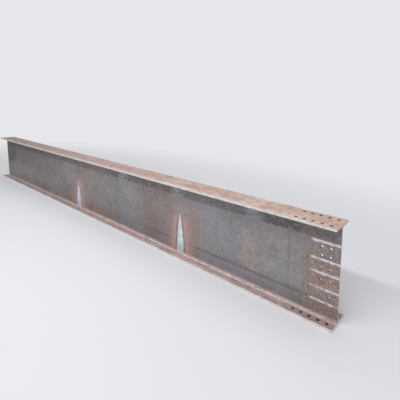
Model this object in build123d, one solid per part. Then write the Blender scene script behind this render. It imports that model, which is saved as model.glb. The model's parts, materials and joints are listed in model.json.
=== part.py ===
# Welded H-beam: a web plate and two flange plates, joined by four continuous fillet welds
# and drilled at one end for a bolted splice.
# +X runs along the beam towards the drilled end, +Y across the flanges and +Z up.
# The origin is on the underside of the bottom flange, below the middle of the beam.
# All sizes are in millimetres.
import os

from build123d import *

# Plates
beam_length = 6800.0
beam_height = 800.0  # over both flanges
flange_width = 250.0
flange_thickness = 18.0
web_thickness = 10.0
edge_round = 1.5  # ground corners along the flanges' long edges

# Fillet welds
weld_leg = 9.0
weld_crown = 1.0  # how far the weld's face bulges past a flat one

# Bolt holes at the splice end, all of one size
hole_diameter = 22.0
flange_hole_columns = 5
flange_hole_pitch = 70.0  # along the beam
flange_hole_gauge = 150.0  # across the web, from row to row
flange_end_distance = 55.0  # from the beam's end to the first column
web_hole_columns = 2
web_hole_pitch = 70.0  # along the beam
web_end_distance = 75.0  # from the beam's end to the first column
web_top_row = 185.0  # top row's height above the middle of the web
web_row_steps = (70.0, 100.0, 100.0, 130.0)  # down from each row to the next

# Places that follow from the sizes
web_height = beam_height - 2 * flange_thickness
web_middle = beam_height / 2
splice_end = beam_length / 2
hole_radius = hole_diameter / 2


def hole_columns(count, pitch, end_distance):
    """X of each column of holes, counted inwards from the splice end."""
    return [splice_end - end_distance - pitch * column for column in range(count)]


def web_hole_rows():
    """Z of each row of web holes, from the top down."""
    rows = [web_middle + web_top_row]
    for step in web_row_steps:
        rows.append(rows[-1] - step)
    return rows


def flange_plate(underside):
    """A flange lying with its underside at that height, drilled each side of the web."""
    standing = (Align.CENTER, Align.CENTER, Align.MIN)
    plate = Box(beam_length, flange_width, flange_thickness, align=standing)
    plate = fillet(plate.edges().filter_by(Axis.X), edge_round)
    drill = Cylinder(hole_radius, flange_thickness, align=standing)
    for x in hole_columns(flange_hole_columns, flange_hole_pitch, flange_end_distance):
        for y in (-flange_hole_gauge / 2, flange_hole_gauge / 2):
            plate -= Pos(x, y, 0) * drill
    return Pos(0, 0, underside) * plate


def web_plate():
    """The upright plate between the flanges, drilled in columns at the splice end."""
    plate = Pos(0, 0, web_middle) * Box(beam_length, web_thickness, web_height)
    drill = Rot(90, 0, 0) * Cylinder(hole_radius, web_thickness)
    for x in hole_columns(web_hole_columns, web_hole_pitch, web_end_distance):
        for z in web_hole_rows():
            plate -= Pos(x, 0, z) * drill
    return plate


def bottom_front_weld():
    """One fillet weld, in the corner of the bottom flange and the web's front face."""
    corner = Vector(0, -web_thickness / 2, flange_thickness)
    flange_toe = corner + Vector(0, -weld_leg, 0)
    web_toe = corner + Vector(0, 0, weld_leg)
    outward = Vector(0, -1, 1).normalized()
    crown = (flange_toe + web_toe) * 0.5 + outward * weld_crown
    outline = [
        Line(web_toe, corner),
        Line(corner, flange_toe),
        ThreePointArc(flange_toe, crown, web_toe),
    ]
    section = make_face(outline)
    return Pos(-beam_length / 2, 0, 0) * extrude(section, amount=beam_length, dir=(1, 0, 0))


def weld_beads():
    """The four welds: one made in its corner, the rest mirrored from it."""
    half_height = Plane.XY.offset(web_middle)
    bottom_front = bottom_front_weld()
    bottom_back = mirror(bottom_front, about=Plane.XZ)
    return {
        "weld_bottom_front": bottom_front,
        "weld_bottom_back": bottom_back,
        "weld_top_front": mirror(bottom_front, about=half_height),
        "weld_top_back": mirror(bottom_back, about=half_height),
    }


pieces = {
    "bottom_flange": flange_plate(0),
    "web_plate": web_plate(),
    "top_flange": flange_plate(beam_height - flange_thickness),
    **weld_beads(),
}

os.makedirs("parts", exist_ok=True)
for name, piece in pieces.items():
    export_step(piece, f"parts/{name}.step")
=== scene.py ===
import json
import math
from functools import reduce

import bpy
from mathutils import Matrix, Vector


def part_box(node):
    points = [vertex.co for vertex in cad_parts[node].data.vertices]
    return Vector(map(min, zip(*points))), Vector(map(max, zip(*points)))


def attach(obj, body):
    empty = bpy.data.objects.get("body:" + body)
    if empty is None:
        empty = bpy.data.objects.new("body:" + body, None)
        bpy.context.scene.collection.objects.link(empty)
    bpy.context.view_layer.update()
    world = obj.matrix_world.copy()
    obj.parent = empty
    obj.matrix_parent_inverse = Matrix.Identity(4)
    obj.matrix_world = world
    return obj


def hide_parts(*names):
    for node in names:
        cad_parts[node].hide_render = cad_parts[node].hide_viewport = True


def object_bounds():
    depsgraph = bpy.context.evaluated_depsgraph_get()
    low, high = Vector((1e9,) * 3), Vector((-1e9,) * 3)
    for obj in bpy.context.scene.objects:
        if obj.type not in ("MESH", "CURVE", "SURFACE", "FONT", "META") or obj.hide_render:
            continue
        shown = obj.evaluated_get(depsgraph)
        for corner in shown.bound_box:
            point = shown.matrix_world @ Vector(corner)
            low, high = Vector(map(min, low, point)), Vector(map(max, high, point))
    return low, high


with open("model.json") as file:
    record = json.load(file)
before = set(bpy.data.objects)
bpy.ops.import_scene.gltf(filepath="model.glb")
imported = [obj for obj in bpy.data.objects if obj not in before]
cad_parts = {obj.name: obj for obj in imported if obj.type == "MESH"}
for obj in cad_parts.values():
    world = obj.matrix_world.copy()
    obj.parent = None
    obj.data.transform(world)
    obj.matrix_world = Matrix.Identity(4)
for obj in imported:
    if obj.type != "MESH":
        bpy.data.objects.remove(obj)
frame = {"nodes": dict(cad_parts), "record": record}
cadLow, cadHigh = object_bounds()
spliceEnd = cadHigh.x  # the drilled end
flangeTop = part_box("web_plate")[0].z  # upper face of the bottom flange
millimetre = 0.001
faceSoft = 0.001  # front and back part within this of the middle
endSkin = 0.0006  # how thin the pale cut end is
cloudMiddle = 0.5  # what a cloud is on average
cloudSteps = (1.0, 1.7, 2.3)  # how far a cloud's shift counts along X, Y and Z
mounts = {mount["name"]: mount for mount in frame["record"]["mounts"]}
print("frame loaded, box", list(cadLow), list(cadHigh))


# shader maths: a wire is one socket, and sums of wires add Math nodes
class Wire:
    def __init__(self, finish, socket):
        self.finish = finish
        self.socket = socket

    def maths(self, operation, *values):
        made = self.finish.node("ShaderNodeMath", {"operation": operation}, dict(enumerate(values)))
        return self.finish.wire(made)

    def __add__(self, other):
        return self.maths("ADD", self, other)

    def __radd__(self, other):
        return self.maths("ADD", other, self)

    def __sub__(self, other):
        return self.maths("SUBTRACT", self, other)

    def __rsub__(self, other):
        return self.maths("SUBTRACT", other, self)

    def __mul__(self, other):
        return self.maths("MULTIPLY", self, other)

    def __rmul__(self, other):
        return self.maths("MULTIPLY", other, self)

    def __truediv__(self, other):
        return self.maths("DIVIDE", self, other)

    def __pow__(self, other):
        return self.maths("POWER", self, other)

    def __abs__(self):
        return self.maths("ABSOLUTE", self)

    def larger(self, other):
        return self.maths("MAXIMUM", self, other)

    def smaller(self, other):
        return self.maths("MINIMUM", self, other)

    # eases from 0 at the first value to 1 at the second, which may be the smaller
    def ease(self, start, end):
        sockets = {"Value": self, "From Min": start, "From Max": end}
        made = self.finish.node("ShaderNodeMapRange", {"interpolation_type": "SMOOTHSTEP"}, sockets)
        return self.finish.wire(made)

    # 1 within halfWidth of the middle, easing to 0 over the soft edge
    def band(self, middle, halfWidth, soft):
        return abs(self - middle).ease(halfWidth + soft, halfWidth)

    # the first value where the wire is 0, the second where it is 1
    def span(self, low, high):
        return low + (high - low) * self


# the nodes of one material or world
class Nodes:
    def __init__(self, tree):
        self.tree = tree
        self.tree.nodes.clear()

    def node(self, kind, settings=None, sockets=None):
        made = self.tree.nodes.new(kind)
        for key, value in (settings or {}).items():
            setattr(made, key, value)
        for key, value in (sockets or {}).items():
            if isinstance(value, Wire):
                self.tree.links.new(value.socket, made.inputs[key])
            else:
                made.inputs[key].default_value = value
        return made

    def wire(self, made, output=0):
        return Wire(self, made.outputs[output])

    # how far the ray that asks is one that sees the backdrop
    def seenBy(self, rays):
        path = self.node("ShaderNodeLightPath")
        return reduce(Wire.larger, [self.wire(path, ray) for ray in rays])


# one material, read in the beam's own metres, with its named clouds
class Finish(Nodes):
    def __init__(self, name, clouds=None):
        self.material = bpy.data.materials.new(name)
        self.material.use_nodes = True
        super().__init__(self.material.node_tree)
        self.place = self.wire(self.node("ShaderNodeTexCoord"), "Object")
        apart = self.node("ShaderNodeSeparateXYZ", sockets={"Vector": self.place})
        self.along = spliceEnd - self.wire(apart, "X")  # metres in from the drilled end
        self.across = self.wire(apart, "Y")
        self.up = self.wire(apart, "Z")
        self.clouds = {}
        for cloud, row in (clouds or {}).items():
            made = self.mixture(row["mix"]) if "mix" in row else self.noise(**row["noise"])
            self.clouds[cloud] = made.ease(*row["ease"]) if "ease" in row else made

    # clouds of the given sizes in metres along X, Y and Z
    def noise(self, size, detail, rough, shift):
        stretch = tuple(1 / length for length in size)
        spread = self.node("ShaderNodeVectorMath", {"operation": "MULTIPLY"}, {0: self.place, 1: stretch})
        moved = {0: self.wire(spread), 1: tuple(shift * step for step in cloudSteps)}
        where = self.wire(self.node("ShaderNodeVectorMath", {"operation": "ADD"}, moved))
        sockets = {"Vector": where, "Scale": 1.0, "Detail": detail, "Roughness": rough}
        return self.wire(self.node("ShaderNodeTexNoise", sockets=sockets))

    # shares of the named clouds, added up
    def mixture(self, shares):
        return sum(share * self.clouds[cloud] for cloud, share in shares.items())

    # moves the edge of a mark to and fro by the named clouds
    def stray(self, reach, amounts):
        for cloud, amount in amounts.items():
            reach = reach + amount * (self.clouds[cloud] - cloudMiddle)
        return reach

    # how far a place is inside an area: two numbers are a fade, three a band
    def inside(self, row):
        share = row.get("share", 1.0)
        for axis, reach in (("along", self.along), ("up", self.up)):
            if axis in row:
                edges = row[axis]
                share = share * (reach.band(*edges) if len(edges) == 3 else reach.ease(*edges))
        return share

    # the same for several areas, of which the largest share counts
    def area(self, *rows):
        return reduce(Wire.larger, [self.inside(row) for row in rows])

    # the cut face of the drilled end
    def cutFace(self):
        return self.along.ease(endSkin, 0.5 * endSkin)

    # 1 on the front, and on the back the share of a mark that shows there
    def front(self, back=0.0):
        return self.across.ease(faceSoft, -faceSoft).span(back, 1.0)

    # 6 and 7 are the colour inputs of a Mix node, and 2 is its colour output
    def blend(self, under, over, mask, how="MIX"):
        settings = {"data_type": "RGBA", "blend_type": how}
        sockets = {0: mask, 6: colour(under), 7: colour(over)}
        return self.wire(self.node("ShaderNodeMix", settings, sockets), 2)

    # multiplies by a thin colour
    def wash(self, under, over, mask):
        return self.blend(under, over, mask, "MULTIPLY")

    # a layer's own paint, at its own share of the mask
    def coat(self, under, layer, mask):
        return self.blend(under, layer["paint"], layer["share"] * mask)

    def tint(self, under, light):
        shade = self.node("ShaderNodeCombineColor", sockets={0: light, 1: light, 2: light})
        return self.wash(under, self.wire(shade), 1.0)

    def dim(self, under, mask):
        return self.tint(under, 1 - mask)

    def close(self, paint, rough, metal, relief, depth):
        bump = self.node("ShaderNodeBump", sockets={"Height": relief, "Strength": 1.0, "Distance": depth})
        surface = {"Base Color": paint, "Roughness": rough, "Metallic": metal, "Normal": self.wire(bump)}
        shader = self.node("ShaderNodeBsdfPrincipled", sockets=surface)
        self.node("ShaderNodeOutputMaterial", sockets={"Surface": self.wire(shader)})
        return self.material


def colour(value):
    return value if isinstance(value, Wire) else (*value, 1.0)


# one row of a table of clouds: size, detail, roughness, shift, and where it eases from 0 to 1
def cloudy(size, detail, rough, shift, ease=None):
    row = {"noise": {"size": size, "detail": detail, "rough": rough, "shift": shift}}
    return {**row, "ease": ease} if ease else row


# a row that mixes clouds further up in its table
def mixed(ease, **shares):
    return {"mix": shares, "ease": ease}


webClouds = {
    "fine": cloudy((0.014, 0.006, 0.02), 6.0, 0.65, 0.0),
    "grain": cloudy((0.06, 0.006, 0.035), 4.0, 0.7, 41.0),
    "broad": cloudy((0.6, 0.006, 0.3), 4.0, 0.6, 3.1),
    "patchy": cloudy((0.12, 0.006, 0.09), 5.0, 0.65, 4.6),
    "runs": cloudy((0.07, 0.006, 0.5), 4.0, 0.6, 7.7),
    "tallRuns": cloudy((0.2, 0.006, 0.5), 5.0, 0.6, 15.2),
    "speckle": cloudy((0.014, 0.014, 0.014), 3.0, 0.7, 5.9),
    "blots": cloudy((0.028, 0.03, 0.024), 5.0, 0.7, 27.1),
    "wobble": cloudy((0.03, 0.006, 0.02), 3.0, 0.6, 9.3),
    "combed": cloudy((0.012, 0.006, 0.07), 4.0, 0.65, 29.0),
    "torn": cloudy((0.03, 0.006, 0.05), 5.0, 0.7, 21.0),
    "swell": cloudy((0.05, 0.006, 0.1), 3.0, 0.6, 47.0),
    "blue": cloudy((0.4, 0.006, 0.2), 3.0, 0.55, 12.4, (0.46, 0.62)),
    "tone": cloudy((0.22, 0.006, 0.17), 4.0, 0.6, 43.0, (0.36, 0.64)),
    "stained": cloudy((0.22, 0.006, 0.1), 4.0, 0.6, 35.1, (0.5, 0.62)),
    "flaked": cloudy((0.045, 0.006, 0.025), 3.0, 0.7, 33.3, (0.54, 0.66)),
    "warm": cloudy((0.07, 0.006, 0.05), 5.0, 0.65, 25.5, (0.4, 0.6)),
    "pale": mixed((0.36, 0.64), broad=0.4, patchy=0.35, runs=0.25),
    "pitted": mixed((0.52, 0.62), blots=0.5, grain=0.5),
    "brown": mixed((0.53, 0.66), tallRuns=0.6, runs=0.4),
    "broken": mixed((0.4, 0.56), runs=0.25, blots=0.4, grain=0.35),
    "smudged": mixed((0.38, 0.58), grain=1.0),
    "mossy": mixed((0.4, 0.55), blots=1.0),
    "fringed": mixed((0.46, 0.58), combed=1.0),
    "grooved": mixed((0.48, 0.4), combed=1.0),
    "wiped": mixed((0.45, 0.8), swell=1.0, fine=0.5),
    "heated": mixed((0.4, 0.75), runs=0.7, blots=0.5),
    "scorched": mixed((0.35, 0.6), grain=1.0),
}

scaleLook = {
    "dark": (0.18, 0.168, 0.17),
    "pale": (0.305, 0.293, 0.297),
    "paleShare": 0.75,
    "paleEnd": {"along": (4.5, 0.4), "share": 0.15},
    "blue": (0.245, 0.258, 0.292),
    "blueShare": 0.15,
    "bluer": (
        {"along": (1.15, 0.2, 0.5), "share": 0.65},
        {"along": (2.65, 0.1, 0.2), "share": 0.8},
    ),
    "blueSpan": (0.3, 1.0),
    "oliveWash": (1.0, 0.99, 0.94),
    "olive": {"along": (0.35, 0.07, 0.1)},
    "oliveSpan": (0.3, 1.5),
    "violet": (0.265, 0.255, 0.3),
    # partly painted light: paler and violet near the foot, where the bottom flange shades the web
    "violetPaintedLightStrip": {"along": (1.05, 0.25, 0.4), "up": (0.17, 0.09), "share": 0.6},  # below the drawn line
    "warmWash": (1.0, 0.83, 0.77),
    "warmer": (
        {"along": (2.05, 0.25, 0.5)},
        {"along": (2.4, 3.6), "share": 0.65},
        {"along": (0.75, 0.2, 0.3), "up": (0.56, 0.06, 0.12), "share": 0.45},
    ),
    "warmSpan": (0.1, 1.05),
    "light": 0.94,
    "nearShade": {"along": (1.8, 1.2), "share": 0.04},
    "paintedLit": (  # painted light: paler lengths
        {"along": (0.95, 0.45, 0.5), "up": (0.36, 0.1, 0.2), "share": 0.16},
        {"along": (2.65, 0.1, 0.2), "up": (0.36, 0.1, 0.2), "share": 0.08},
        {"along": (4.9, 5.6), "up": (0.16, 0.08, 0.15), "share": 0.16},
    ),
    "paintedDusk": (  # painted shade, darker towards the plain end, added up
        {"along": (4.2, 6.0), "up": (0.1, 0.55), "share": 0.42},
        {"along": (6.2, 6.6), "up": (0.1, 0.55), "share": 0.3},
        {"along": (6.3, 6.6), "share": 0.1},
        {"along": (2.0, 2.8), "up": (0.3, 0.1), "share": 0.1},
    ),
    "duskBack": 0.4,
    "darkest": 0.3,
}


# mill scale, paler towards the drilled end, browner and then darker towards the plain one, under a painted
# light level: painted light on some lengths, and painted shade near the drilled end and towards the plain
# end
def millScale(f, look):
    broad, blue, tone = f.clouds["broad"], f.clouds["blue"], f.clouds["tone"]
    paleness = look["paleShare"] * f.clouds["pale"] + f.area(look["paleEnd"])
    paint = f.blend(look["dark"], look["pale"], paleness)
    bluish = f.area(*look["bluer"]) * blue.span(*look["blueSpan"])
    paint = f.blend(paint, look["blue"], bluish.larger(look["blueShare"] * blue))
    paint = f.wash(paint, look["oliveWash"], f.area(look["olive"]) * broad.span(*look["oliveSpan"]))
    # paler and violet near the foot: partly painted light against the bottom flange's shade
    paint = f.blend(paint, look["violet"], f.area(look["violetPaintedLightStrip"]))
    paint = f.wash(paint, look["warmWash"], f.area(*look["warmer"]) * tone.span(*look["warmSpan"]))
    # the painted light level: painted shade near the drilled end and, added up, towards the plain end
    # (weaker on the back), and painted light on some lengths
    paintedDusk = sum(f.area(row) for row in look["paintedDusk"]) * f.front(look["duskBack"])
    light = look["light"] - f.area(look["nearShade"]) + f.area(*look["paintedLit"]) - paintedDusk
    return f.tint(paint, light.larger(look["darkest"]))


highLook = {
    # where the top flange's shadow falls on the web, which gets painted shade
    "shadeStrip": {"up": (0.625, 0.665)},
    "shade": 0.05,
    "paintedShadeLength": {"along": (0.5, 0.12, 0.1), "share": 0.28},
    "pitShade": 0.3,
    "rust": {"paint": (0.2, 0.135, 0.105), "share": 0.65},
    "flake": {"paint": (0.46, 0.47, 0.49), "share": 0.55},
    "flakeReach": {"along": (6.0, 3.5)},
    "flakeBack": 0.25,
}


# flaked and stained scale below the top flange, with painted shade in the top flange's shadow, darker at
# one length and blotchy
def highScaleAndPaintedShade(f, look, paint):
    shadeStrip = f.area(look["shadeStrip"])
    # painted shade in the top flange's shadow
    shade = look["shade"] + f.area(look["paintedShadeLength"]) + look["pitShade"] * f.clouds["pitted"]
    paint = f.dim(paint, shadeStrip * shade)
    paint = f.coat(paint, look["rust"], shadeStrip * f.clouds["stained"])
    flakes = f.clouds["flaked"] * f.area(look["flakeReach"]) * f.front(look["flakeBack"])
    return f.coat(paint, look["flake"], shadeStrip * flakes)


stainLook = {
    "runs": {"paint": (0.25, 0.185, 0.155), "share": 0.45},
    "strayAlong": {"patchy": 0.2},
    "strayUp": {"patchy": 0.25},
    "coreAlong": 0.25,  # share of the size that is full
    "coreUp": 0.3,
    "stains": (
        {"along": 2.27, "up": 0.45, "wide": 0.1, "tall": 0.3, "paint": (0.225, 0.17, 0.13), "share": 0.75},
        {"along": 2.25, "up": 0.15, "wide": 0.16, "tall": 0.18, "paint": (0.225, 0.16, 0.14), "share": 0.7},
        {"along": 0.81, "up": 0.3, "wide": 0.12, "tall": 0.2, "paint": (0.4, 0.29, 0.23), "share": 0.65},
        {"along": 1.5, "up": 0.3, "wide": 0.1, "tall": 0.4, "paint": (0.285, 0.195, 0.15), "share": 0.9},
        {"along": 1.91, "up": 0.69, "wide": 0.07, "tall": 0.06, "paint": (0.23, 0.15, 0.11), "share": 0.75},
        {"along": 3.95, "up": 0.04, "wide": 0.95, "tall": 0.14, "paint": (0.3, 0.185, 0.16), "share": 0.6},
    ),
}


# brown rust in upright runs, and stains on the front
def rustStains(f, look, paint):
    paint = f.coat(paint, look["runs"], f.clouds["brown"])
    along, up = f.stray(f.along, look["strayAlong"]), f.stray(f.up, look["strayUp"])
    shown = f.clouds["broken"] * f.front()
    for stain in look["stains"]:
        beside = along.band(stain["along"], look["coreAlong"] * stain["wide"], stain["wide"])
        level = up.band(stain["up"], look["coreUp"] * stain["tall"], stain["tall"])
        paint = f.coat(paint, stain, beside * level * shown)
    return paint


markLook = {
    "lowLine": {"along": (3.0, 1.4), "up": (0.14, 0.006, 0.014)},
    "lowStray": {"wobble": 0.012},
    "lowShade": (0.112, 0.448),
    "upright": {"along": (0.418, 0.004, 0.012), "up": (0.39, 0.22, 0.06), "share": 0.14},
    "smudge": {"paint": (0.4, 0.44, 0.47), "share": 0.8},
    "smudges": (
        {"along": (2.744, 0.02, 0.12), "up": (0.69, 0.02, 0.05)},
        {"along": (1.75, 0.02, 0.12), "up": (0.685, 0.02, 0.05)},
        {"along": (0.778, 0.02, 0.12), "up": (0.69, 0.02, 0.05)},
    ),
}


# the two drawn lines, and pale smudges under the top flange
def drawnMarks(f, look, paint):
    line = f.stray(f.up, look["lowStray"]).band(*look["lowLine"]["up"])
    line = line * f.along.ease(*look["lowLine"]["along"]) * f.clouds["grain"].span(*look["lowShade"])
    paint = f.dim(paint, f.front() * (line + f.area(look["upright"])))
    return f.coat(paint, look["smudge"], f.area(*look["smudges"]) * f.front() * f.clouds["smudged"])


spliceLook = {
    "reach": 0.25,  # how far the rust goes in from the drilled end
    "topReach": {"up": (0.6, 0.67), "share": 0.06},  # and how much further near the top
    "ragged": {"torn": 0.05, "combed": 0.05},
    "edge": (0.03, -0.02),
    "rusts": (  # grey, brown, olive, orange, and brown again at the foot
        {"paint": (0.255, 0.21, 0.2), "cloud": "warm", "span": (0.7, 0.7)},
        {"paint": (0.24, 0.175, 0.155), "cloud": "warm", "span": (0.2, 0.7), "up": (0.62, 0.45)},
        {"paint": (0.29, 0.26, 0.2), "cloud": "mossy", "span": (0.0, 0.7), "up": (0.46, 0.06, 0.1),
         "along": (0.21, 0.03, 0.06)},
        {"paint": (0.38, 0.245, 0.185), "cloud": "warm", "span": (0.08, 0.83), "up": (0.3, 0.07, 0.12)},
        {"paint": (0.25, 0.175, 0.16), "cloud": "warm", "span": (0.35, 0.95), "up": (0.14, 0.09)},
    ),
    "pits": {"speckle": 1.6, "blots": 1.3},
    "fringe": {"along": (0.268, 0.016, 0.03), "up": (0.3, 0.13, 0.12)},
    "fringeRust": {"paint": (0.33, 0.235, 0.175), "share": 0.7},
    "fringeShade": 0.3,
}


# rust of the splice end, greyer above and orange in the middle, with an upright fringe
def spliceRust(f, look, paint):
    inward = f.stray(f.along, look["ragged"]) - look["reach"] - f.area(look["topReach"])
    splice = inward.ease(*look["edge"])
    for rust in look["rusts"]:
        shown = f.area(rust) * f.clouds[rust["cloud"]].span(*rust["span"])
        paint = f.blend(paint, rust["paint"], splice * shown)
    paint = f.dim(paint, splice * f.stray(0.0, look["pits"]))
    fringe = f.area(look["fringe"])
    paint = f.coat(paint, look["fringeRust"], fringe * f.clouds["fringed"])
    return f.dim(paint, look["fringeShade"] * fringe * f.clouds["grooved"]), splice


streakLook = {
    "paint": (0.7, 0.67, 0.7),
    "streaks": (  # height, and where it starts, in from the drilled end
        {"up": 0.626, "starts": 0.245},
        {"up": 0.480, "starts": 0.245},
        {"up": 0.369, "starts": 0.24},
        {"up": 0.241, "starts": 0.25},
        {"up": 0.133, "starts": 0.25},
    ),
    "half": (0.0042, 0.0198),  # half their thickness, where they are thin and thick
    "core": 0.2,  # share of the thickness that is full
    "strayUp": {"wobble": 0.012, "grain": 0.01},
    "strayAlong": {"wobble": 0.08},
    "fadeIn": 0.035,
}


# pale streaks across the splice end, uneven and ragged
def paleStreaks(f, look, paint):
    thick = f.clouds["swell"].span(*look["half"])
    level, inward = f.stray(f.up, look["strayUp"]), f.stray(f.along, look["strayAlong"])
    lines = []
    for row in look["streaks"]:
        line = level.band(row["up"], look["core"] * thick, thick)
        lines.append(line * inward.ease(row["starts"], row["starts"] - look["fadeIn"]))
    streaks = reduce(Wire.larger, lines) * f.clouds["wiped"] * f.front()
    return f.blend(paint, look["paint"], streaks), streaks


footLook = {
    "rust": {"paint": (0.42, 0.27, 0.245), "share": 0.7},
    "rise": (0.04, 0.008),  # above the flange
    "stray": {"wobble": 0.03},
    "reach": {"along": (0.3, 0.7)},
}


# rust on the web above the bottom weld
def footRust(f, look, paint):
    low = f.stray(f.up - flangeTop, look["stray"]).ease(*look["rise"])
    return f.coat(paint, look["rust"], low * f.area(look["reach"]) * f.clouds["heated"])


wedgeLook = {
    "wedges": (  # in from the drilled end, with half their width at the foot
        {"along": 1.708, "tip": 0.452, "half": 0.056, "taper": 0.62, "heat": (0.72, 0.8, 0.85),
         "leftHalo": 1.0, "rightHalo": 1.0},
        {"along": 3.9, "tip": 0.435, "half": 0.075, "taper": 0.95, "heat": (0.69, 0.71, 0.8),
         "leftHalo": 0.65, "rightHalo": 0.95},
    ),
    "back": 0.45,  # how far the heat shows on the back
    "footRise": (0.0, 0.12),  # narrower at the very foot
    "footSpan": (0.8, 1.0),
    "stray": {"wobble": 0.035, "blots": 0.03},
    "haloRust": (0.5, 0.295, 0.27),
    "haloStray": {"patchy": 0.07, "grain": 0.05},
    "haloSides": (-0.02, 0.02),
    "haze": {"reach": (0.22, 0.03), "rise": (1.35, 0.75), "span": (0.05, 0.85)},
    "halo": {"start": (0.005, 0.035), "reach": (0.13, 0.045), "rise": (1.15, 0.8), "span": (0.25, 1.35)},
    "scorch": (0.2, 0.185, 0.205),
    "scorchLine": (0.011, 0.005, 0.012),
    "scorchRise": (1.05, 0.92),
    "core": {"edge": (0.006, -0.006), "rise": (1.02, 0.96), "span": (0.45, 1.5)},
    "heatFoot": (0.52, 0.64, 0.7),
    "heatStray": {"blots": 0.6},
    "heatRise": (0.0, 0.35),
    "heatTip": (0.74, 0.64, 0.64),
    "tipRise": (0.5, 1.0),
    "burnt": 0.6,  # scorched at the very foot
    "burntRise": (0.06, 0.0),
    "blotShade": 1.2,
    "spill": 0.7,  # share of their width that runs on over the weld and the flange
    "spillSoft": 0.02,
}


# a broad pink halo, and a scorched line round the pale core
def wedgeHalo(f, look, wedge, rise, outside, paint):
    haze, halo, shows = look["haze"], look["halo"], f.front(look["back"])
    loose = f.stray(outside, look["haloStray"])
    hazy = loose.ease(*haze["reach"]) * rise.ease(*haze["rise"]) * f.clouds["patchy"].span(*haze["span"])
    pink = loose.ease(*halo["start"]) * loose.ease(*halo["reach"]) * rise.ease(*halo["rise"])
    pink = pink * f.clouds["blots"].span(*halo["span"]).smaller(1.0)
    left = (f.along - wedge["along"]).ease(*look["haloSides"])
    share = left.span(wedge["rightHalo"], wedge["leftHalo"]) * shows
    paint = f.blend(paint, look["haloRust"], hazy.larger(pink) * share)
    scorch = outside.band(*look["scorchLine"]) * rise.ease(*look["scorchRise"])
    return f.blend(paint, look["scorch"], scorch * f.clouds["scorched"] * shows)


# the pale core: bluish, pink at the tip and scorched at the very foot
def wedgeHeat(f, look, wedge, rise):
    higher = f.stray(rise, look["heatStray"]).ease(*look["heatRise"])
    heat = f.blend(look["heatFoot"], wedge["heat"], higher)
    heat = f.blend(heat, look["heatTip"], rise.ease(*look["tipRise"]))
    heat = f.blend(heat, look["scorch"], look["burnt"] * rise.ease(*look["burntRise"]))
    return f.dim(heat, look["blotShade"] * (cloudMiddle - f.clouds["blots"]).larger(0.0))


# heat wedges that rise from the bottom weld, and how far a place is inside their cores
def heatWedges(f, look, paint):
    core, cores = look["core"], []
    for wedge in look["wedges"]:
        rise = (f.up - flangeTop) / (wedge["tip"] - flangeTop)
        taper = (1 - rise).larger(0.0) ** wedge["taper"]
        width = wedge["half"] * taper * rise.ease(*look["footRise"]).span(*look["footSpan"])
        outside = abs(f.stray(f.along - wedge["along"], look["stray"])) - width
        paint = wedgeHalo(f, look, wedge, rise, outside, paint)
        inside = outside.ease(*core["edge"]) * rise.ease(*core["rise"]) * f.front(look["back"])
        shown = inside * f.clouds["grain"].span(*core["span"]).smaller(1.0)
        paint = f.blend(paint, wedgeHeat(f, look, wedge, rise), shown)
        cores.append(inside)
    return paint, reduce(Wire.larger, cores)


# where the wedges' feet run over the weld and onto the flange
def wedgeFeet(f, look):
    feet = []
    for wedge in look["wedges"]:
        feet.append({"along": (wedge["along"], look["spill"] * wedge["half"], look["spillSoft"])})
    return f.area(*feet) * f.front(look["back"])


boltLook = {
    # dark rust and painted shade on the bore walls
    "wall": (0.05, 0.042, 0.04),
    "skin": (0.0004, 0.0002),  # the wall is dark this near to the bore
}


# how far a place is outside the nearest bore, from its distances to the hole's column and row
def boreGap(column, row, bolts):
    return (column * column + row * row) ** 0.5 - bolts["dims"]["hole_r_mm"] * millimetre


webLook = {
    "holeRows": (0.585, 0.515, 0.415, 0.315, 0.185),
    "rim": (0.006, 0.0),  # grime round the holes
    "rimShade": 0.35,
    "fineSpan": (0.76, 1.24),
    "wobbleSpan": (0.6, 1.4),
    "grit": 0.45,
    "farGrit": {"along": (1.2, 3.2), "share": 0.4},
    "cutEnd": {"paint": (0.62, 0.58, 0.56), "share": 0.85},
    "rough": (0.42, 0.62),
    "rustRough": 0.22,
    "brightSmooth": 0.14,
    "metal": (0.08, 0.33),
    "relief": {"fine": 0.5, "patchy": 0.3},
    "spliceRelief": 0.5,
    "depth": 0.0012,
}


# dark mill scale under painted light and shade, brown stains, heat wedges from the foot and the rusted,
# streaked splice end
def webFinish(look):
    f = Finish("web_mill_scale", webClouds)
    paint = millScale(f, scaleLook)
    paint = highScaleAndPaintedShade(f, highLook, paint)
    paint = rustStains(f, stainLook, paint)
    paint = drawnMarks(f, markLook, paint)
    paint, splice = spliceRust(f, spliceLook, paint)
    paint, streaks = paleStreaks(f, streakLook, paint)
    paint = footRust(f, footLook, paint)
    paint, heat = heatWedges(f, wedgeLook, paint)

    # bolt holes with dark rust and painted shade on their walls, and a grimy rim
    bolts = mounts["web_splice"]
    middle = spliceEnd - bolts["pos_m"][0]
    column = abs(f.along - middle) - 0.5 * bolts["dims"]["spacing_x_mm"] * millimetre
    row = reduce(Wire.smaller, [abs(f.up - height) for height in look["holeRows"]])
    gap = boreGap(column, row, bolts)

    fine = f.clouds["fine"]
    grit = (look["grit"] + f.area(look["farGrit"])) * (f.clouds["grain"] - cloudMiddle)
    worn = fine.span(*look["fineSpan"]) * f.clouds["wobble"].span(*look["wobbleSpan"]) * (1 + grit)
    paint = f.tint(paint, worn * (1 - look["rimShade"] * gap.ease(*look["rim"])))
    # painted shade and dark rust on the bore walls
    paint = f.blend(paint, boltLook["wall"], gap.ease(*boltLook["skin"]))
    paint = f.coat(paint, look["cutEnd"], f.cutFace())
    bright = heat.larger(streaks)
    rust = f.clouds["brown"].larger(splice)
    rough = fine.span(*look["rough"]) + look["rustRough"] * rust - look["brightSmooth"] * bright
    relief = f.mixture(look["relief"]) + look["spliceRelief"] * splice * f.clouds["speckle"]
    return f.close(paint, rough, bright.span(*look["metal"]), relief, look["depth"])


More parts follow.
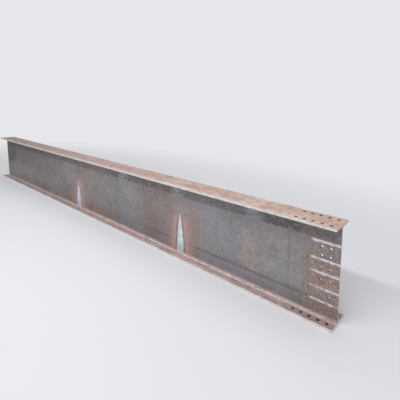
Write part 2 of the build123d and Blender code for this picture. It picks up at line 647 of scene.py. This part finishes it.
flangeClouds = {
    "fine": cloudy((0.02, 0.012, 0.01), 6.0, 0.65, 0.0),
    "brushed": cloudy((0.5, 0.012, 0.01), 5.0, 0.62, 2.2),
    "broad": cloudy((0.4, 0.12, 0.01), 4.0, 0.6, 6.1),
    "patch": cloudy((0.13, 0.06, 0.01), 4.0, 0.7, 13.0),
    "blotch": cloudy((0.06, 0.03, 0.01), 5.0, 0.68, 19.0),
    "speckle": cloudy((0.012, 0.012, 0.012), 3.0, 0.7, 4.4),
    "spots": cloudy((0.12, 0.05, 0.01), 4.0, 0.6, 11.0),
    "rubbed": cloudy((0.06, 0.025, 0.01), 4.0, 0.65, 23.0),
    "drag": cloudy((0.003, 1.0, 0.02), 3.0, 0.6, 31.0),  # drag lines of the cut
    "chips": cloudy((0.05, 0.05, 0.012), 4.0, 0.7, 37.0, (0.46, 0.6)),
    "warm": cloudy((0.2, 0.05, 0.01), 4.0, 0.6, 17.3, (0.5, 0.66)),
    "pink": cloudy((0.35, 0.09, 0.01), 4.0, 0.6, 51.0, (0.47, 0.6)),
    "beige": cloudy((0.3, 0.07, 0.01), 5.0, 0.65, 53.0, (0.5, 0.6)),
    "dashes": cloudy((0.03, 0.012, 0.01), 3.0, 0.65, 57.0, (0.46, 0.58)),
    "worn": mixed((0.42, 0.58), brushed=0.2, broad=0.25, patch=0.3, blotch=0.25),
    "grey": mixed((0.53, 0.64), broad=0.5, spots=0.5),
    "broken": mixed((0.36, 0.6), blotch=0.5, brushed=0.5),
    "scuffs": mixed((0.53, 0.63), patch=0.5, rubbed=0.5),
    "specks": mixed((0.6, 0.7), speckle=1.0),
    "toe": mixed((0.16, 0.4), blotch=0.55, dashes=0.45),
}

topLook = {
    "rust": (0.34, 0.22, 0.185),
    "paleRust": (0.5, 0.37, 0.32),
    "border": (0.54, 0.455, 0.41),
    "backBorder": (0.44, 0.37, 0.345),
    "grey": {"paint": (0.31, 0.265, 0.26), "share": 0.55},
    "orange": {"paint": (0.56, 0.34, 0.24), "share": 0.6},
    "pink": {"paint": (0.56, 0.36, 0.34), "share": 0.7},
    "beige": (0.58, 0.485, 0.41),
    "patches": (  # in from the drilled end, across, half sizes
        {"along": 3.0, "across": 0.01, "wide": 0.3, "deep": 0.05, "rust": (0.53, 0.31, 0.29)},
        {"along": 2.2, "across": 0.0, "wide": 0.18, "deep": 0.05, "rust": (0.46, 0.28, 0.205)},
        {"along": 1.75, "across": 0.03, "wide": 0.2, "deep": 0.08, "rust": (0.49, 0.41, 0.37)},
        {"along": 1.93, "across": 0.1, "wide": 0.05, "deep": 0.05, "rust": (0.3, 0.24, 0.22)},
        {"along": 1.2, "across": 0.03, "wide": 0.28, "deep": 0.05, "rust": (0.54, 0.35, 0.28)},
        {"along": 0.76, "across": 0.0, "wide": 0.1, "deep": 0.1, "rust": (0.58, 0.48, 0.41)},
        {"along": 0.48, "across": 0.01, "wide": 0.15, "deep": 0.05, "rust": (0.55, 0.35, 0.27)},
        {"along": 0.34, "across": -0.08, "wide": 0.12, "deep": 0.03, "rust": (0.66, 0.57, 0.49)},
        {"along": 0.1, "across": -0.115, "wide": 0.12, "deep": 0.016, "rust": (0.38, 0.3, 0.265)},
    ),
    "edge": (0.67, 0.59, 0.545),
    "paintedDusk": {"along": (0.4, 6.4), "share": 0.36},  # painted shade, darker towards the plain end
    "heatRust": 0.0,  # rust below the heat wedges
    "wedgeFoot": 0.0,  # grey below the heat wedges
    "bloom": 0.0,  # pale line beside the weld
    "endBrown": 0.0,  # dark brown at the drilled end
}

bottomLook = {
    "rust": (0.38, 0.27, 0.26),
    "paleRust": (0.57, 0.44, 0.425),
    "border": (0.39, 0.3, 0.29),
    "backBorder": (0.39, 0.3, 0.29),
    "grey": {"paint": (0.3, 0.26, 0.26), "share": 0.55},
    "orange": {"paint": (0.55, 0.33, 0.25), "share": 0.6},
    "pink": {"paint": (0.46, 0.3, 0.29), "share": 0.7},
    "beige": (0.6, 0.5, 0.48),
    "patches": (
        {"along": 2.8, "across": -0.08, "wide": 0.5, "deep": 0.05, "rust": (0.5, 0.37, 0.355)},
        {"along": 3.45, "across": -0.07, "wide": 0.25, "deep": 0.07, "rust": (0.58, 0.37, 0.28)},
    ),
    "edge": (0.78, 0.7, 0.66),
    # painted shade, darker towards the plain end
    "paintedDusk": {"along": (0.4, 6.4), "share": 0.22},
    "heatRust": 0.7,
    "wedgeFoot": 0.8,
    "bloom": 1.0,
    "endBrown": 0.6,
}

flangeLook = {  # what both flanges share
    "borderStray": {"blotch": 0.07, "patch": 0.05},
    "borderReach": (0.05, 0.11),
    "borderSides": (-0.05, 0.05),
    "borderSpan": (0.3, 1.2),
    "pinkReach": {"along": (1.6, 2.8)},
    "beigeSpan": (0.35, 0.7),
    "patchShare": 0.9,
    "patchStrayAlong": {"patch": 0.3},
    "patchStrayAcross": {"blotch": 0.12},
    "patchCore": 0.5,  # share of the half sizes that is full
    "patchSoft": 0.9,
    "scuff": (0.7, 0.63, 0.59),  # pale scuffs, most on the borders
    "scuffSpan": (0.3, 0.75),
    "spliceReach": (0.16, 0.02),  # the orange end, in from the drilled end
    "spliceStray": {"blotch": 0.1},
    "spliceSpan": (0.24, 0.8),
    "dark": (0.27, 0.185, 0.165),
    "darkReach": {"along": (0.5, 0.2)},
    "darkBand": (0.09, 0.03, 0.03),
    "darkStray": {"blotch": 0.06},
    "heatRusts": (1.58, 3.98),  # middles of the rust below the heat wedges
    "heatHalf": 0.02,
    "heatSoft": 0.2,
    "heatStray": {"patch": 0.25},
    "heatSpan": (0.3, 1.1),
    "bloomPale": (0.78, 0.66, 0.65),
    "bloomBand": (0.0325, 0.004, 0.011),  # just off the toe of the weld
    "bloomStray": {"blotch": 0.025},
    "bloomFade": {"along": (0.7, 0.3), "share": 0.4},
    "heatFoot": (0.34, 0.37, 0.4),
    "heatFootReach": (0.046, 0.034),
    "holeColumns": 5,
    "rim": (0.009, 0.0),  # grime round the holes
    "rimShade": 0.45,
    "drilledSoft": 0.001,
    "fineSpan": (0.55, 1.45),
    "mottle": 0.75,
    "endMottle": {"along": (0.8, 0.2), "share": 0.35},
    "speckShade": 0.35,
    "edgeWide": 0.003,  # the pale edge starts this far in
    "endEdge": 0.8,
    "fleck": (0.9, 0.88, 0.87),  # bare bright metal
    "fleckReach": {"along": (5.0, 0.6)},
    "edgeShare": 0.5,
    "edgeMix": {"drag": 0.4, "blotch": 0.3},
    "rough": (0.62, 0.82),
    "edgeSmooth": 0.12,
    "metal": (0.05, 0.15),
    "brushRelief": 0.4,
    "dragRelief": 0.5,
    "depth": 0.001,
}


# dry pinkish rust, brushed along the plate, with pale scuffed borders
def flangeRust(f, look, both):
    blotch = f.clouds["blotch"]
    paint = f.blend(look["rust"], look["paleRust"], f.clouds["worn"])
    border = f.stray(abs(f.across), both["borderStray"]).ease(*both["borderReach"])
    rim = f.blend(look["border"], look["backBorder"], f.across.ease(*both["borderSides"]))
    paint = f.blend(paint, rim, border * blotch.span(*both["borderSpan"]).smaller(1.0))
    paint = f.coat(paint, look["grey"], f.clouds["grey"])
    paint = f.coat(paint, look["orange"], f.clouds["warm"] * (1 - border))
    paint = f.coat(paint, look["pink"], f.clouds["pink"] * f.area(both["pinkReach"]) * (1 - border))
    paint = f.blend(paint, look["beige"], f.clouds["beige"] * border.span(*both["beigeSpan"]))

    along = f.stray(f.along, both["patchStrayAlong"])
    across = f.stray(f.across, both["patchStrayAcross"])
    for patch in look["patches"]:
        wide, deep = patch["wide"], patch["deep"]
        beside = along.band(patch["along"], both["patchCore"] * wide, both["patchSoft"] * wide)
        level = across.band(patch["across"], both["patchCore"] * deep, deep)
        paint = f.blend(paint, patch["rust"], both["patchShare"] * beside * level * f.clouds["broken"])
    paint = f.blend(paint, both["scuff"], f.clouds["scuffs"] * border.span(*both["scuffSpan"]))

    splice = f.stray(f.along, both["spliceStray"]).ease(*both["spliceReach"])
    speckled = f.clouds["speckle"].span(*both["spliceSpan"])
    return f.blend(paint, look["orange"]["paint"], splice * (1 - border) * speckled)


# brown at the drilled end, rust and grey below the heat wedges, and the pale line beside the weld
def flangeMarks(f, look, both, paint):
    side, blotch = abs(f.across), f.clouds["blotch"]
    brown = f.area(both["darkReach"]) * f.stray(side, both["darkStray"]).band(*both["darkBand"])
    paint = f.blend(paint, both["dark"], look["endBrown"] * brown)
    for middle in both["heatRusts"]:
        below = f.stray(f.along, both["heatStray"]).band(middle, both["heatHalf"], both["heatSoft"])
        below = below * blotch.span(*both["heatSpan"])
        paint = f.blend(paint, look["orange"]["paint"], look["heatRust"] * below)
    bloom = f.stray(side, both["bloomStray"]).band(*both["bloomBand"]) * (1 - f.area(both["bloomFade"]))
    pale = f.blend(both["bloomPale"], both["fleck"], f.clouds["dashes"])
    paint = f.blend(paint, pale, look["bloom"] * bloom * f.clouds["toe"])
    heated = wedgeFeet(f, wedgeLook) * side.ease(*both["heatFootReach"])
    return f.blend(paint, both["heatFoot"], look["wedgeFoot"] * heated)


# rust and marks, with bolt holes darkened by dark rust and painted shade, and bright cut edges
def flangeFinish(name, look, both, bolts):
    f = Finish(name, flangeClouds)
    side, fine, blotch, drag = abs(f.across), f.clouds["fine"], f.clouds["blotch"], f.clouds["drag"]
    paint = flangeMarks(f, look, both, flangeRust(f, look, both))

    # bolt holes with dark rust and painted shade on their walls, and a grimy rim
    pitch = bolts["dims"]["spacing_x_mm"] * millimetre / (both["holeColumns"] - 1)
    middle = spliceEnd - bolts["pos_m"][0]
    column = f.along.maths("PINGPONG", f.along - middle, pitch / 2)
    gap = boreGap(column, side - 0.5 * bolts["dims"]["spacing_y_mm"] * millimetre, bolts)
    drilled = f.along.band(middle, both["holeColumns"] / 2 * pitch, both["drilledSoft"])

    mottle = (both["mottle"] + f.area(both["endMottle"])) * (blotch - cloudMiddle)
    shade = fine.span(*both["fineSpan"]) * (1 + mottle) * (1 - both["speckShade"] * f.clouds["specks"])
    # painted shade towards the plain end, and grime round the holes
    shade = shade * (1 - f.area(look["paintedDusk"])) * (1 - both["rimShade"] * drilled * gap.ease(*both["rim"]))
    paint = f.tint(paint, shade)
    # painted shade and dark rust on the bore walls
    paint = f.blend(paint, boltLook["wall"], drilled * gap.ease(*boltLook["skin"]))

    # bright cut edges
    edge = side.ease(cadHigh.y - 2 * both["edgeWide"], cadHigh.y - both["edgeWide"])
    edge = edge.larger(both["endEdge"] * f.cutFace())
    bare = f.blend(look["edge"], both["fleck"], f.clouds["chips"] * f.area(both["fleckReach"]))
    paint = f.blend(paint, bare, edge * (both["edgeShare"] + f.mixture(both["edgeMix"])).smaller(1.0))
    rough = fine.span(*both["rough"]) - both["edgeSmooth"] * edge
    brushed, cut = both["brushRelief"] * f.clouds["brushed"], both["dragRelief"] * drag * edge
    relief = fine * (1 - edge) + brushed + cut
    return f.close(paint, rough, edge.span(*both["metal"]), relief, both["depth"])


weldClouds = {
    "runs": cloudy((0.2, 0.05, 0.05), 4.0, 0.6, 0.0),
    "dashes": cloudy((0.03, 0.05, 0.05), 3.0, 0.65, 6.4),
    "fine": cloudy((0.006, 0.006, 0.006), 5.0, 0.65, 3.3),
    "rust": cloudy((0.15, 0.1, 0.1), 4.0, 0.6, 8.8, (0.5, 0.64)),
    "silver": mixed((0.4, 0.58), runs=0.45, dashes=0.55),
}

weldLook = {
    "bead": (0.27, 0.22, 0.22),
    "silver": (0.4, 0.335, 0.335),
    "rust": {"paint": (0.42, 0.28, 0.235), "share": 0.6},
    "dull": (0.26, 0.205, 0.2),
    "duller": ({"along": (0.5, 0.15), "share": 0.4}, {"along": (3.6, 5.4)}),
    "dullSpan": (0.35, 0.85),
    "heat": {"paint": (0.46, 0.54, 0.58), "share": 0.85},
    "heatLow": {"up": (0.2, 0.1)},
    "fineSpan": (0.82, 1.18),
    "rough": (0.5, 0.75),
    "metal": 0.2,
    "depth": 0.0006,
    "pitch": 0.012,  # from ripple to ripple
    "sides": 16,
    "flatten": 0.84,  # how far the round face is pressed towards a flat one
    "swell": (1.07, 0.98, 1 / (1.07 * 0.98)),  # each step of one ripple against the step before
    "lean": 0.003,  # the crown runs ahead of the toes
    "touching": 0.05,  # share of the leg that counts as lying on a plate
    "lumps": 0.0008,
    "lumpSize": 0.02,
    "overrun": 2,  # spare ripples, cut off flush at each end
    "cutWithin": 1e-6,
    "joinWithin": 1e-5,
    "smooth": 40,  # degrees
    "mirrors": {  # the other three welds: -1 mirrors across the web, or up
        "weld_bottom_back": {"facing": -1, "upright": 1},
        "weld_top_front": {"facing": 1, "upright": -1},
        "weld_top_back": {"facing": -1, "upright": -1},
    },
}


# brownish bead with brighter lengths, dull towards the ends of the beam
def weldFinish(look):
    f = Finish("weld_bead_steel", weldClouds)
    fine = f.clouds["fine"]
    paint = f.blend(look["bead"], look["silver"], f.clouds["silver"])
    paint = f.coat(paint, look["rust"], f.clouds["rust"])
    dull = f.area(*look["duller"]) * f.clouds["runs"].span(*look["dullSpan"])
    paint = f.blend(paint, look["dull"], dull)
    paint = f.coat(paint, look["heat"], wedgeFeet(f, wedgeLook) * f.area(look["heatLow"]))
    paint = f.tint(paint, fine.span(*look["fineSpan"]))
    return f.close(paint, fine.span(*look["rough"]), look["metal"], fine, look["depth"])


def selectOnly(piece):
    bpy.ops.object.select_all(action="DESELECT")
    piece.select_set(True)
    bpy.context.view_layer.objects.active = piece


# selects the vertices or faces that pass a test, and leaves edit mode on
def selectParts(piece, kind, wanted):
    bpy.ops.object.mode_set(mode="EDIT")
    bpy.ops.mesh.select_mode(type=kind)
    bpy.ops.mesh.select_all(action="DESELECT")
    bpy.ops.object.mode_set(mode="OBJECT")
    parts = piece.data.vertices if kind == "VERT" else piece.data.polygons
    for part in parts:
        part.select = wanted(part)
    bpy.ops.object.mode_set(mode="EDIT")


# one ripple of the bottom front weld: a quarter disc in the corner, drawn out step by step
def weldRipple(look, corner, leg):
    bpy.ops.object.select_all(action="DESELECT")
    bpy.ops.mesh.primitive_circle_add(vertices=look["sides"], radius=leg, fill_type="NGON",
                                      location=corner, rotation=(0, math.pi / 2, 0))
    bead = bpy.context.active_object
    bpy.ops.object.transform_apply(location=True, rotation=True, scale=True)
    bpy.ops.object.mode_set(mode="EDIT")
    for keep in ((0, -1, 0), (0, 0, 1)):  # off the web's face, then off the flange
        bpy.ops.mesh.select_all(action="SELECT")
        bpy.ops.mesh.bisect(plane_co=corner, plane_no=keep, clear_inner=True, threshold=look["cutWithin"])

    touching = leg * look["touching"]

    def isCrown(point):  # off both plates
        return point.co.y < corner.y - touching and point.co.z > corner.z + touching

    selectParts(bead, "VERT", isCrown)
    bpy.ops.transform.resize(value=(1, look["flatten"], look["flatten"]), center_override=corner)
    bpy.ops.transform.translate(value=(look["lean"], 0, 0))
    bpy.ops.mesh.select_all(action="SELECT")
    step = look["pitch"] / len(look["swell"])
    for number, swell in enumerate(look["swell"]):
        bpy.ops.mesh.extrude_region_move(TRANSFORM_OT_translate={"value": (step, 0, 0)})
        centre = corner + Vector((step * (number + 1), 0, 0))
        bpy.ops.transform.resize(value=(1, swell, swell), center_override=centre)

    # the end faces, the only ones with over four corners, go, so that the ripples join into one skin
    selectParts(bead, "FACE", lambda face: len(face.vertices) > 4)
    bpy.ops.mesh.delete(type="FACE")
    selectParts(bead, "VERT", isCrown)
    bpy.ops.object.vertex_group_assign_new()
    bpy.ops.object.mode_set(mode="OBJECT")
    bead.vertex_groups[0].name = "crown"
    return bead


# the bottom front weld: a row of ripples, a little lumpy, cut off flush at both ends
def weldBead(look):
    low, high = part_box("weld_bottom_front")
    corner = Vector((low.x - look["overrun"] * look["pitch"], high.y, low.z))
    bead = weldRipple(look, corner, high.z - low.z)
    row = bead.modifiers.new("row", "ARRAY")
    row.count = math.ceil((high.x - low.x) / look["pitch"]) + 2 * look["overrun"]
    row.use_relative_offset = False
    row.use_constant_offset = True
    row.constant_offset_displace = (look["pitch"], 0, 0)
    row.use_merge_vertices = True
    row.merge_threshold = look["joinWithin"]
    bpy.ops.object.modifier_apply(modifier="row")
    clouds = bpy.data.textures.new("beadLumps", "CLOUDS")
    clouds.noise_scale = look["lumpSize"]
    lumps = bead.modifiers.new("lumps", "DISPLACE")
    lumps.texture = clouds
    lumps.texture_coords = "LOCAL"
    lumps.strength = look["lumps"]
    lumps.vertex_group = "crown"
    bpy.ops.object.modifier_apply(modifier="lumps")

    bpy.ops.object.mode_set(mode="EDIT")
    for end, outward in ((low.x, (-1, 0, 0)), (high.x, (1, 0, 0))):
        bpy.ops.mesh.select_all(action="SELECT")
        bpy.ops.mesh.bisect(plane_co=(end, corner.y, corner.z), plane_no=outward,
                            clear_outer=True, use_fill=True, threshold=look["cutWithin"])
    bpy.ops.mesh.select_all(action="SELECT")
    bpy.ops.mesh.normals_make_consistent(inside=False)
    bpy.ops.object.mode_set(mode="OBJECT")
    bpy.ops.object.shade_smooth_by_angle(angle=math.radians(look["smooth"]))
    return bead


# a copy of the first bead, mirrored across the web or up to the top flange
def mirroredBead(first, facing, upright):
    bead = first.copy()
    bead.data = first.data.copy()
    bpy.context.collection.objects.link(bead)
    bead.scale = (1, facing, upright)
    bead.location.z = 0 if upright == 1 else cadHigh.z
    selectOnly(bead)
    bpy.ops.object.transform_apply(location=True, rotation=True, scale=True)
    bpy.ops.object.mode_set(mode="EDIT")
    bpy.ops.mesh.select_all(action="SELECT")
    bpy.ops.mesh.normals_make_consistent(inside=False)
    bpy.ops.object.mode_set(mode="OBJECT")
    return bead


# four beads, each in the place of its plain weld
def allWelds(look):
    steel = weldFinish(look)
    first = weldBead(look)
    first.data.materials.clear()
    first.data.materials.append(steel)
    beads = {"weld_bottom_front": first}
    for node, mirror in look["mirrors"].items():
        beads[node] = mirroredBead(first, **mirror)
    for node, bead in beads.items():  # after all the copying, so that no copy keeps another's node
        bead.name = f"{node}_bead"
        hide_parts(node)
        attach(bead, "root")
        print("weld", bead.name, len(bead.data.polygons), "faces")


def paintNode(node, material):
    piece = frame["nodes"][node]
    piece.data.materials.clear()
    piece.data.materials.append(material)
    print("painted", node)


stageLook = {
    "backdrop": (0.79, 0.8, 0.83),
    "paper": (0.76, 0.77, 0.795),
    "fill": 0.5,  # the backdrop's share of the light
    "seenBy": ("Is Camera Ray", "Is Glossy Ray", "Is Transmission Ray"),
    "floorWide": 60.0,
    "floorSides": 96,
    "fade": (1.2, 4.8),  # the floor meets the backdrop over this stretch
    "fadeLong": 0.5,  # distances along the beam count this much
    "drop": 0.0005,
    "lamps": {
        "overhead": {"place": (0.6, 0.4, 4.8), "aim": (0.6, 0.0, 0.4), "size": (8.0, 4.0), "power": 90.0},
        "key": {"place": (1.6, -5.2, 6.57), "aim": (1.6, -0.06, 0.7), "size": (9.0, 0.6), "power": 400.0},
    },
}


# pale paper that fades into the backdrop away from the beam
def studioFloor(look):
    bpy.ops.object.select_all(action="DESELECT")
    bpy.ops.mesh.primitive_circle_add(vertices=look["floorSides"], radius=look["floorWide"],
                                      fill_type="NGON", location=(0, 0, -look["drop"]))
    floor = bpy.context.active_object
    floor.name = "studio_floor"
    f = Finish("studio_floor")
    stretch = {0: f.place, 1: (look["fadeLong"], 1.0, 1.0)}
    near = f.wire(f.node("ShaderNodeVectorMath", {"operation": "MULTIPLY"}, stretch))
    away = f.wire(f.node("ShaderNodeVectorMath", {"operation": "LENGTH"}, {0: near}), "Value")
    paper = f.wire(f.node("ShaderNodeBsdfDiffuse", sockets={"Color": colour(look["paper"])}))
    glow = f.wire(f.node("ShaderNodeEmission", sockets={"Color": colour(look["backdrop"])}))
    fade = away.ease(*look["fade"]) * f.seenBy(look["seenBy"])
    both = f.node("ShaderNodeMixShader", sockets={0: fade, 1: paper, 2: glow})
    f.node("ShaderNodeOutputMaterial", sockets={"Surface": f.wire(both)})
    floor.data.materials.append(f.material)


# an even pale backdrop, the floor, and two lamps
def studio(look):
    world = bpy.data.worlds.new("studio")
    bpy.context.scene.world = world
    world.use_nodes = True
    w = Nodes(world.node_tree)
    share = w.seenBy(look["seenBy"]).span(look["fill"], 1.0)
    sky = w.node("ShaderNodeBackground", sockets={"Color": colour(look["backdrop"]), "Strength": share})
    w.node("ShaderNodeOutputWorld", sockets={"Surface": w.wire(sky)})
    studioFloor(look)

    for name, lamp in look["lamps"].items():
        light = bpy.data.lights.new(name, "AREA")
        light.shape = "RECTANGLE"
        light.size, light.size_y = lamp["size"]
        light.energy = lamp["power"]
        holder = bpy.data.objects.new(name, light)
        bpy.context.collection.objects.link(holder)
        holder.location = lamp["place"]
        aim = Vector(lamp["aim"]) - Vector(lamp["place"])
        holder.rotation_euler = aim.to_track_quat("-Z", "Y").to_euler()
    print("studio set")


cameraLook = {
    "beyond": 0.811,  # past the drilled end
    "inFront": 2.485,
    "height": 1.798,
    "turn": 41.93,  # to the left of straight across the beam, in degrees
    "down": 7.12,
    "lens": 30.38,
    "sensor": 36.0,
    "shift": -0.1726,
}


def viewer(look):
    turn, down = math.radians(look["turn"]), math.radians(look["down"])
    lens = bpy.data.cameras.new("viewer")
    lens.lens = look["lens"]
    lens.sensor_width = look["sensor"]
    lens.shift_y = look["shift"]
    holder = bpy.data.objects.new("viewer", lens)
    bpy.context.collection.objects.link(holder)
    holder.location = (spliceEnd + look["beyond"], -look["inFront"], look["height"])
    aim = Vector((-math.sin(turn) * math.cos(down), math.cos(turn) * math.cos(down), -math.sin(down)))
    holder.rotation_euler = aim.to_track_quat("-Z", "Y").to_euler()
    bpy.context.scene.camera = holder
    print("viewer set")


bpy.context.scene.view_settings.view_transform = "Standard"
viewer(cameraLook)
studio(stageLook)
paintNode("web_plate", webFinish(webLook))
for flange, look in (("top_flange", topLook), ("bottom_flange", bottomLook)):
    bolts = mounts[f"{flange}_splice"]
    paintNode(flange, flangeFinish(f"{flange}_rust", look, flangeLook, bolts))
allWelds(weldLook)
